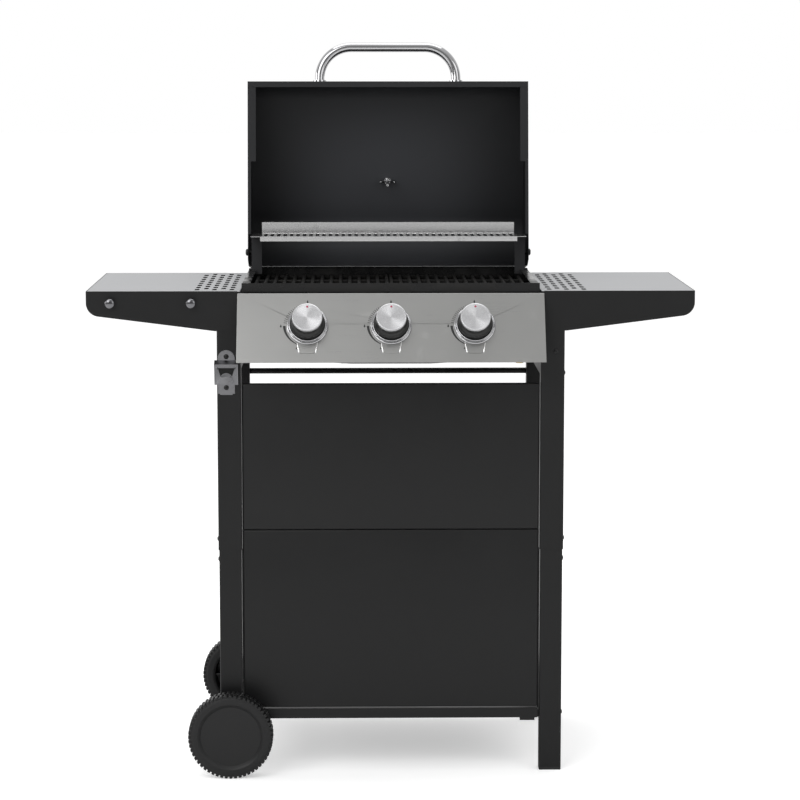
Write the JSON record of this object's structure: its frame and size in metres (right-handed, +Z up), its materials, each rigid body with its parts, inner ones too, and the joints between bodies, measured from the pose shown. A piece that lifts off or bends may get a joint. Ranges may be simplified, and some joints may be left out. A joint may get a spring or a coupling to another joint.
{
  "type": "gas barbecue grill",
  "caption": "Gas barbecue with its lid open: dark cart on wheels and fixed legs, slanted steel control panel with knobs, side shelves, warming rack, tool pegs and a bottle opener.",
  "frame": {"origin": "centre of the footprint's bounding box, on the ground", "axes": "+X to the cook's right, -Y toward the cook, +Z up; the lid is open and the knobs are off"},
  "size_m": [1.08, 0.5936, 1.3112],
  "materials": {
    "black_coat": "satin powder coat",
    "charcoal_lid": "matte inside, satin outside",
    "silver_coat": "satin light silver powder coat",
    "panel_steel": "brushed along X",
    "bright_chrome": "polished",
    "spun_face": "spun about the knob's axis",
    "black_knob": "fine satin",
    "cast_grate": "seasoned matte",
    "tamer_steel": "heat-stained",
    "burner_steel": "drawn tube",
    "rack_steel": "bright rolled",
    "zinc_steel": "zinc plated",
    "gas_brass": "machined",
    "enamel": "black porcelain enamel",
    "stamped_steel": "dull zinc stamping",
    "bracket_steel": "dark heat-proof paint",
    "foot_plastic": "moulded",
    "wheel_plastic": "moulded, fine texture",
    "black_bolt": "black oxide"
  },
  "bodies": {
    "trolley": {"upper_leg_front_left": "black_coat", "upper_leg_front_right": "black_coat", "upper_leg_rear_left": "black_coat", "upper_leg_rear_right": "black_coat", "lower_leg_front_left": "black_coat", "lower_leg_front_right": "black_coat", "lower_leg_rear_left": "black_coat", "lower_leg_rear_right": "black_coat", "foot_caps": "foot_plastic", "frame_screws": "black_bolt", "side_rail_left": "black_coat", "side_rail_right": "black_coat", "rear_crossbar": "black_coat", "front_panel_upper": "black_coat", "front_panel_lower": "black_coat", "bottom_shelf": "black_coat", "axle": "zinc_steel", "shelf_top_left": "silver_coat", "shelf_top_right": "silver_coat", "shelf_frame_left": "black_coat", "shelf_frame_right": "black_coat", "tool_pegs": "bright_chrome", "bottle_opener": "stamped_steel", "firebox": "enamel", "hinge_bracket_left": "bracket_steel", "hinge_bracket_right": "bracket_steel", "hinge_bolts": "black_bolt", "burner_left": "burner_steel", "burner_centre": "burner_steel", "burner_right": "burner_steel", "flame_tamers": "tamer_steel", "gas_manifold": "zinc_steel", "gas_inlet": "gas_brass", "valve_bodies": "gas_brass", "control_panel": "panel_steel", "knob_bezels": "bright_chrome", "tray_runners": "zinc_steel"},
    "lid": {"lid_hood": "charcoal_lid", "lid_cap_left": "charcoal_lid", "lid_cap_right": "charcoal_lid", "lid_handle": "bright_chrome", "handle_collars": "bright_chrome", "thermometer": "bright_chrome", "wing_nut": "bright_chrome"},
    "valve_push_left": {"valve_stem_left": "zinc_steel"},
    "knob_turn_left": {"knob_left": "black_knob", "knob_face_left": "spun_face"},
    "valve_push_centre": {"valve_stem_centre": "zinc_steel"},
    "knob_turn_centre": {"knob_centre": "black_knob", "knob_face_centre": "spun_face"},
    "valve_push_right": {"valve_stem_right": "zinc_steel"},
    "knob_turn_right": {"knob_right": "black_knob", "knob_face_right": "spun_face"},
    "wheel_front_spin": {"wheel_front": "wheel_plastic"},
    "wheel_rear_spin": {"wheel_rear": "wheel_plastic"},
    "drip_tray": {"grease_tray": "zinc_steel"},
    "cooking_grate_left": {"grate_left": "cast_grate"},
    "cooking_grate_right": {"grate_right": "cast_grate"},
    "rack": {"warming_rack": "rack_steel"}
  },
  "joints": [
    {"name": "lid_hinge", "type": "hinge", "parent": "trolley", "child": "lid", "pos_m": [0, 0.14837, 0.915], "axis": [1, 0, 0], "range_deg": [0, 98]},
    {"name": "knob_left_push", "type": "slide", "parent": "trolley", "child": "valve_push_left", "axis": [0, 0.866, -0.5], "range_m": [0, 0.003], "stiffness_N_per_m": 900, "springref_m": -0.004},
    {"name": "knob_left_turn", "type": "hinge", "parent": "valve_push_left", "child": "knob_turn_left", "pos_m": [-0.1475, -0.25111, 0.81448], "axis": [0, -0.866, 0.5], "range_deg": [0, 180]},
    {"name": "knob_centre_push", "type": "slide", "parent": "trolley", "child": "valve_push_centre", "axis": [0, 0.866, -0.5], "range_m": [0, 0.003], "stiffness_N_per_m": 900, "springref_m": -0.004},
    {"name": "knob_centre_turn", "type": "hinge", "parent": "valve_push_centre", "child": "knob_turn_centre", "pos_m": [0, -0.25111, 0.81448], "axis": [0, -0.866, 0.5], "range_deg": [0, 180]},
    {"name": "knob_right_push", "type": "slide", "parent": "trolley", "child": "valve_push_right", "axis": [0, 0.866, -0.5], "range_m": [0, 0.003], "stiffness_N_per_m": 900, "springref_m": -0.004},
    {"name": "knob_right_turn", "type": "hinge", "parent": "valve_push_right", "child": "knob_turn_right", "pos_m": [0.1475, -0.25111, 0.81448], "axis": [0, -0.866, 0.5], "range_deg": [0, 180]},
    {"name": "wheel_front_axle", "type": "hinge", "parent": "trolley", "child": "wheel_front_spin", "pos_m": [-0.28825, -0.24963, 0.076], "axis": [0, 1, 0], "continuous": true},
    {"name": "wheel_rear_axle", "type": "hinge", "parent": "trolley", "child": "wheel_rear_spin", "pos_m": [-0.28825, 0.23637, 0.076], "axis": [0, 1, 0], "continuous": true},
    {"name": "tray_slide", "type": "slide", "parent": "trolley", "child": "drip_tray", "axis": [0, 1, 0], "range_m": [0, 0.19]},
    {"name": "grate_left_lift", "type": "slide", "parent": "trolley", "child": "cooking_grate_left", "axis": [0, 0, 1], "range_m": [0, 0.012]},
    {"name": "grate_right_lift", "type": "slide", "parent": "trolley", "child": "cooking_grate_right", "axis": [0, 0, 1], "range_m": [0, 0.012]},
    {"name": "rack_lift", "type": "slide", "parent": "trolley", "child": "rack", "axis": [0, 0, 1], "range_m": [0, 0.02]}
  ]
}
